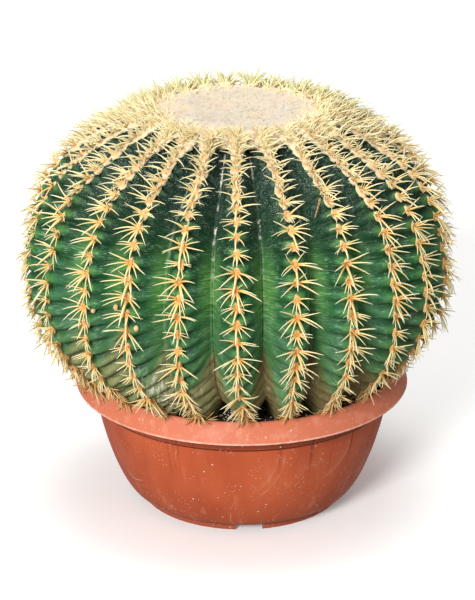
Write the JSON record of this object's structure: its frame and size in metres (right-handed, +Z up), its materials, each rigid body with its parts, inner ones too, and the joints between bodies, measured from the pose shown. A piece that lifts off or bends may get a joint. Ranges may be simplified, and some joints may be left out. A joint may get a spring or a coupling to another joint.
{
  "type": "potted round cactus",
  "caption": "Round ribbed cactus with rows of golden spines and a woolly crown, standing in soil in a low bowl-shaped plastic pot with a flared rim.",
  "frame": {"origin": "on the ground under the stem's axis, which is 4 mm to the left of the pot's axis", "axes": "+Z up the stem's axis, -Y to the front, where one rib faces, +X to the right"},
  "size_m": [0.3973, 0.397, 0.3755],
  "materials": {
    "pot_plastic": "moulded polypropylene in terracotta orange, matte, dusty, lighter on the rim",
    "potting_soil": "dark peat potting mix with white perlite grains",
    "stem_skin": "waxy green plant skin, darker near the crown, corky brown at the foot",
    "crown_felt": "dense cream plant wool",
    "spine_horn": "pale golden horny spines on orange-tan felt cushions"
  },
  "bodies": {
    "root": {"pot": "pot_plastic", "soil": "potting_soil", "stem": "stem_skin", "crown_wool": "crown_felt", "spines": "spine_horn"}
  },
  "joints": []
}
